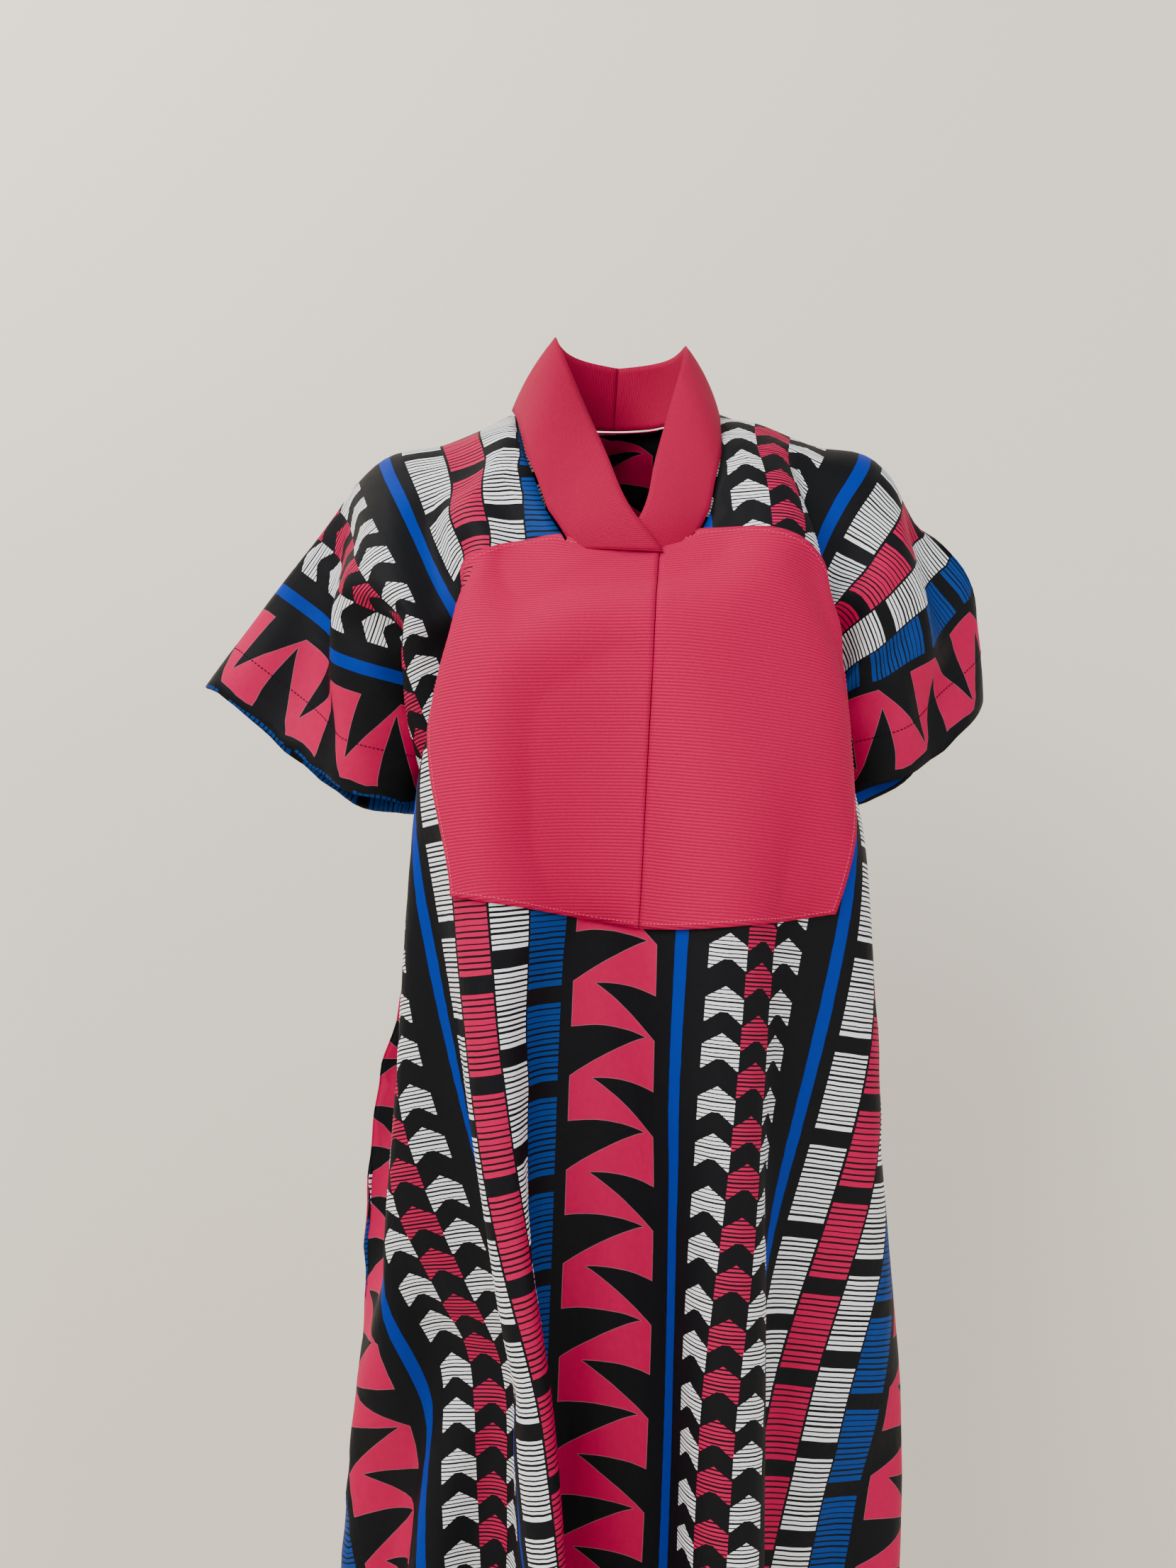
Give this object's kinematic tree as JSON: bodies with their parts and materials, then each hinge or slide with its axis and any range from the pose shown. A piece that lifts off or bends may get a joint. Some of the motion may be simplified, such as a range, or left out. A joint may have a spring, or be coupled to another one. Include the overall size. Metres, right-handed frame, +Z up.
{
  "type": "grand boubou robe",
  "caption": "Wide pull-on robe, worn shape: short sleeves cut in one with the body, a ribbed collar band crossed in front, and a ribbed bib on the chest.",
  "frame": {"origin": "midway between the shoulders, at the height where the neckline meets the shoulder line", "axes": "+Z up along the robe's length, -Y out of its front, +X to the wearer's left"},
  "size_m": [0.6395, 0.3807, 1.3439],
  "materials": {
    "print_cotton": "matt printed cotton, black ground with crimson, blue and white figures",
    "crimson_rib": "matt crimson ribbed cloth, ribs about 2.7 mm apart"
  },
  "bodies": {
    "root": {"front": "print_cotton", "back": "print_cotton", "collar_right": "crimson_rib", "collar_left": "crimson_rib", "bib_right": "crimson_rib", "bib_left": "crimson_rib"}
  },
  "joints": []
}
